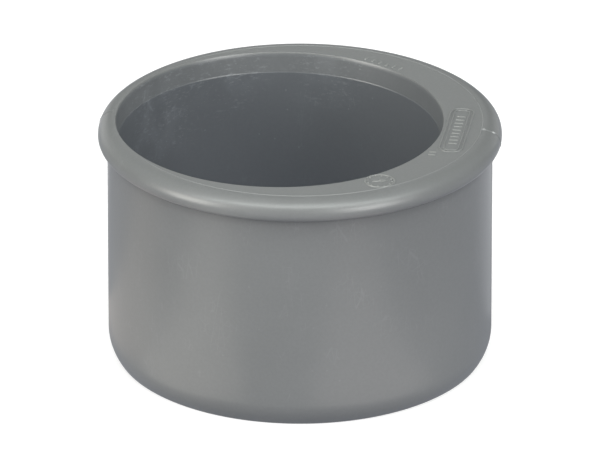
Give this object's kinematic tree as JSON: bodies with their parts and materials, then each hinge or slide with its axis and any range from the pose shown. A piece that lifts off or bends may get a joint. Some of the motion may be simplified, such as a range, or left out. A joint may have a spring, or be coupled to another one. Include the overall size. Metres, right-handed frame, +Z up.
{
  "type": "eccentric pipe reducing bush",
  "caption": "Short eccentric reducing bush for waste pipe: plain round spigot outside, plain off-centre socket inside, beaded collar and flat marked face on top.",
  "frame": {"origin": "bottom centre of the spigot, on the spigot's axis", "axes": "+Z up the spigot's axis to the marked face; the socket is set off towards -X, so the face is widest on the +X side"},
  "size_m": [0.0944, 0.0944, 0.0582],
  "materials": {
    "moulded_grey": "semi-gloss moulded mid-grey uPVC with light handling scratches",
    "raised_marks": "the same grey uPVC, a little lighter on the rubbed edges"
  },
  "bodies": {
    "root": {"reducer_body": "moulded_grey", "label_frame": "raised_marks", "label_bars": "raised_marks", "pair_marks": "raised_marks", "dial_ring": "raised_marks", "dial_pointer": "raised_marks", "row_marks": "raised_marks"}
  },
  "joints": []
}
